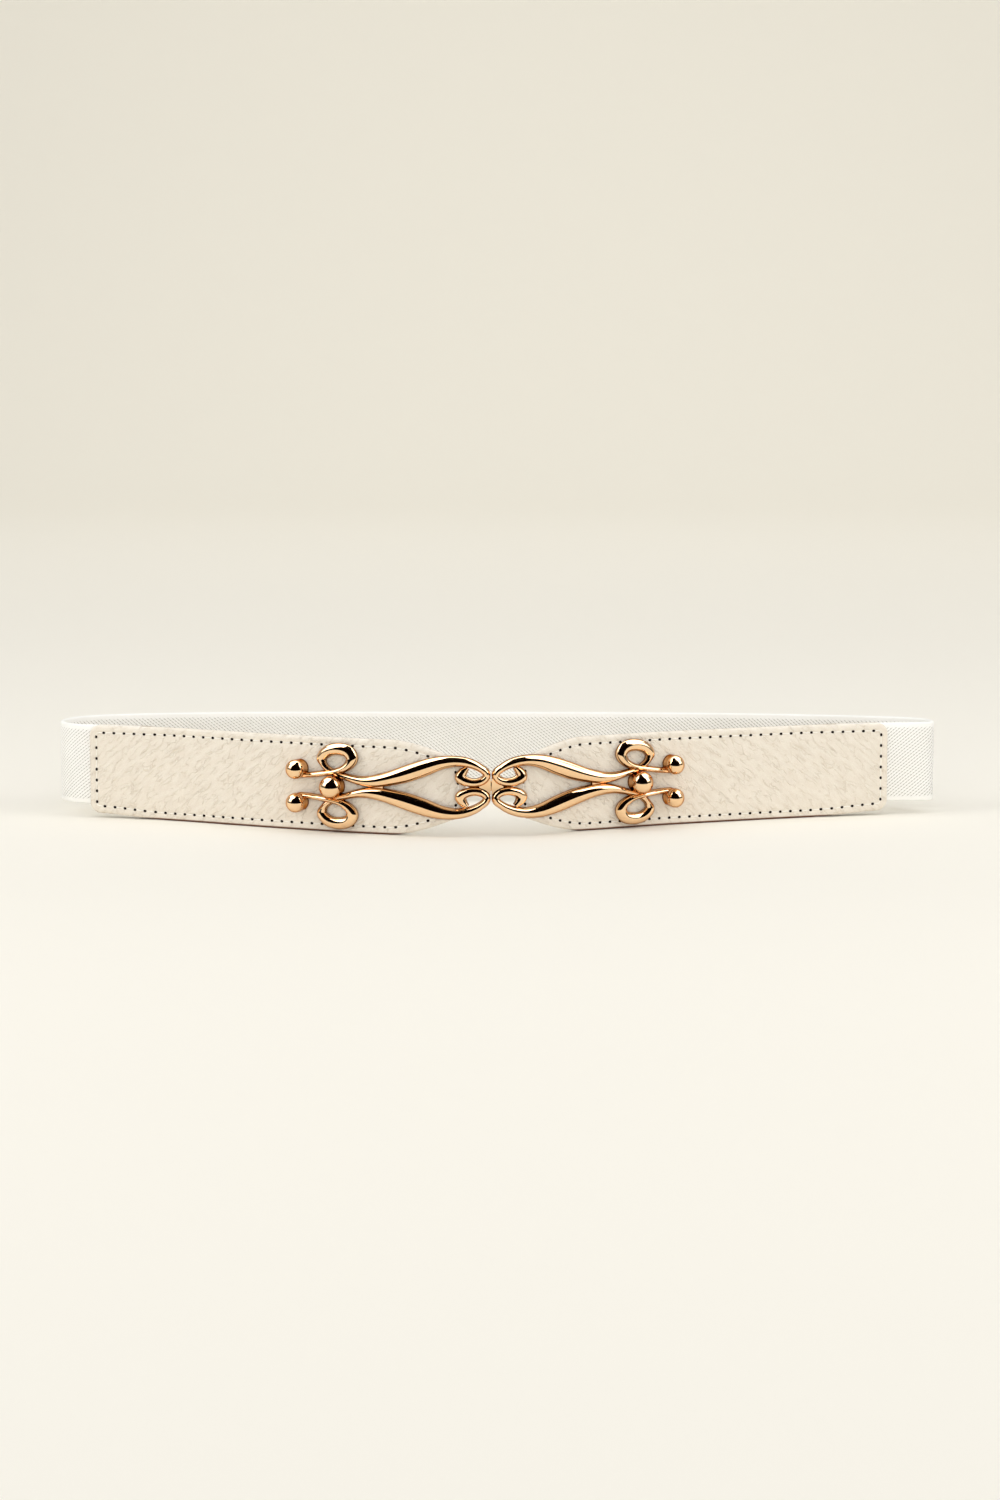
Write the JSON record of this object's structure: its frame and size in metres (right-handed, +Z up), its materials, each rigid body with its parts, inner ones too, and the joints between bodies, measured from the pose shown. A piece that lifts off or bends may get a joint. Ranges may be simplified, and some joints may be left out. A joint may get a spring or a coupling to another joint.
{
  "type": "elastic stretch belt",
  "caption": "Narrow waist belt of woven elastic webbing with stitched leather end tabs and a two-part gold scroll buckle, shown fastened as a closed loop.",
  "frame": {"origin": "middle of the belt's footprint, on the surface that its tabs stand on", "axes": "+X along the front from the left tab to the right tab as seen from the front, +Y from the buckle to the rear run, +Z up"},
  "size_m": [0.298, 0.0832, 0.0315],
  "materials": {
    "elastic": "white woven elastic webbing with fine diagonal ribs and plain selvedges",
    "leather": "ivory grained leather with a soft sheen, sewn round the edge with off-white thread",
    "gold": "polished warm gold plating"
  },
  "bodies": {
    "root": {"elastic_band": "elastic", "tab_left_front": "leather", "tab_left_back": "leather", "tab_right_front": "leather", "tab_right_back": "leather", "buckle_left": "gold", "buckle_right": "gold", "clasp_hook": "gold"}
  },
  "joints": []
}
